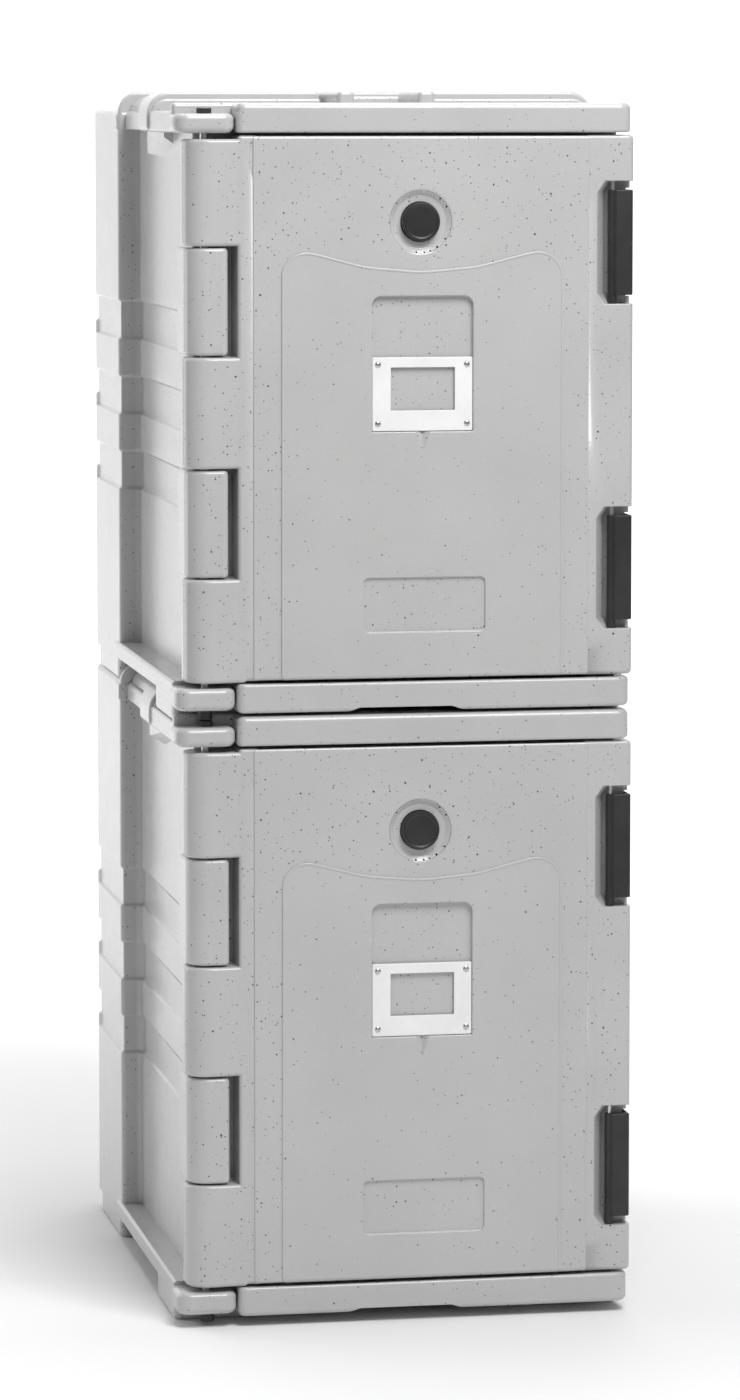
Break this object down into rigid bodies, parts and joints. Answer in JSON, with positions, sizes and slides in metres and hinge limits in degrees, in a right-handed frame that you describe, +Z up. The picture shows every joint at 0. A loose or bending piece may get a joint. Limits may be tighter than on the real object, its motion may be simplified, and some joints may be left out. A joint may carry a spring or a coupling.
{
  "type": "insulated food carrier",
  "caption": "Stack of insulated front-loading food carriers: hinged door with rod hinge, swinging latches, turning vent cap, menu card frame and stacking ledges.",
  "frame": {"origin": "middle of the bounding box at the soles of the lower carrier's feet", "axes": "+X to the right seen from the front, +Y to the back (the doors face -Y), +Z up"},
  "size_m": [0.455, 0.6274, 1.2105],
  "materials": {
    "shell": "rotomoulded polyethylene, light grey with fine dark granite specks, satin",
    "foam": "rigid insulating foam",
    "steel": "stainless steel, satin",
    "black": "black moulded nylon, fine texture",
    "seal": "soft seal rubber",
    "frame": "white moulded plastic"
  },
  "bodies": {
    "lower_body": {"lower_body_shell": "shell", "lower_body_foam": "foam", "lower_hinge_rod": "steel", "lower_rod_head": "black", "lower_rod_foot": "black", "lower_latch_catches": "black", "lower_catch_screws": "steel"},
    "lower_door": {"lower_door_shell": "shell", "lower_door_foam": "foam", "lower_door_gasket": "seal", "lower_hinge_bushes": "black", "lower_latch_pins": "steel", "lower_vent_sleeve": "black", "lower_vent_seal": "seal", "lower_menu_frame": "frame", "lower_menu_screws": "steel"},
    "lower_vent_cap": {"lower_vent_cap": "black"},
    "lower_high_latch": {"lower_high_latch": "black"},
    "lower_low_latch": {"lower_low_latch": "black"},
    "upper_body": {"upper_body_shell": "shell", "upper_body_foam": "foam", "upper_hinge_rod": "steel", "upper_rod_head": "black", "upper_rod_foot": "black", "upper_latch_catches": "black", "upper_catch_screws": "steel"},
    "upper_door": {"upper_door_shell": "shell", "upper_door_foam": "foam", "upper_door_gasket": "seal", "upper_hinge_bushes": "black", "upper_latch_pins": "steel", "upper_vent_sleeve": "black", "upper_vent_seal": "seal", "upper_menu_frame": "frame", "upper_menu_screws": "steel"},
    "upper_vent_cap": {"upper_vent_cap": "black"},
    "upper_high_latch": {"upper_high_latch": "black"},
    "upper_low_latch": {"upper_low_latch": "black"}
  },
  "joints": [
    {"name": "lower_door_swing", "type": "hinge", "parent": "lower_body", "child": "lower_door", "pos_m": [-0.1955, -0.29025, 0.3], "axis": [0, 0, -1], "range_deg": [0, 180]},
    {"name": "lower_high_latch_swing", "type": "hinge", "parent": "lower_door", "child": "lower_high_latch", "pos_m": [0.2075, -0.30225, 0.467], "axis": [0, 0, -1], "range_deg": [0, 100]},
    {"name": "lower_low_latch_swing", "type": "hinge", "parent": "lower_door", "child": "lower_low_latch", "pos_m": [0.2075, -0.30225, 0.1475], "axis": [0, 0, -1], "range_deg": [0, 100]},
    {"name": "lower_vent_cap_turn", "type": "hinge", "parent": "lower_door", "child": "lower_vent_cap", "pos_m": [0.0144, -0.31225, 0.488], "axis": [0, 1, 0], "range_deg": [0, 90]},
    {"name": "upper_carrier_lift", "type": "slide", "parent": "lower_body", "child": "upper_body", "axis": [0, 0, 1], "range_m": [0, 0.12]},
    {"name": "upper_door_swing", "type": "hinge", "parent": "upper_body", "child": "upper_door", "pos_m": [-0.1955, -0.29025, 0.896], "axis": [0, 0, -1], "range_deg": [0, 180]},
    {"name": "upper_high_latch_swing", "type": "hinge", "parent": "upper_door", "child": "upper_high_latch", "pos_m": [0.2075, -0.30225, 1.063], "axis": [0, 0, -1], "range_deg": [0, 100]},
    {"name": "upper_low_latch_swing", "type": "hinge", "parent": "upper_door", "child": "upper_low_latch", "pos_m": [0.2075, -0.30225, 0.7435], "axis": [0, 0, -1], "range_deg": [0, 100]},
    {"name": "upper_vent_cap_turn", "type": "hinge", "parent": "upper_door", "child": "upper_vent_cap", "pos_m": [0.0144, -0.31225, 1.084], "axis": [0, 1, 0], "range_deg": [0, 90]}
  ]
}
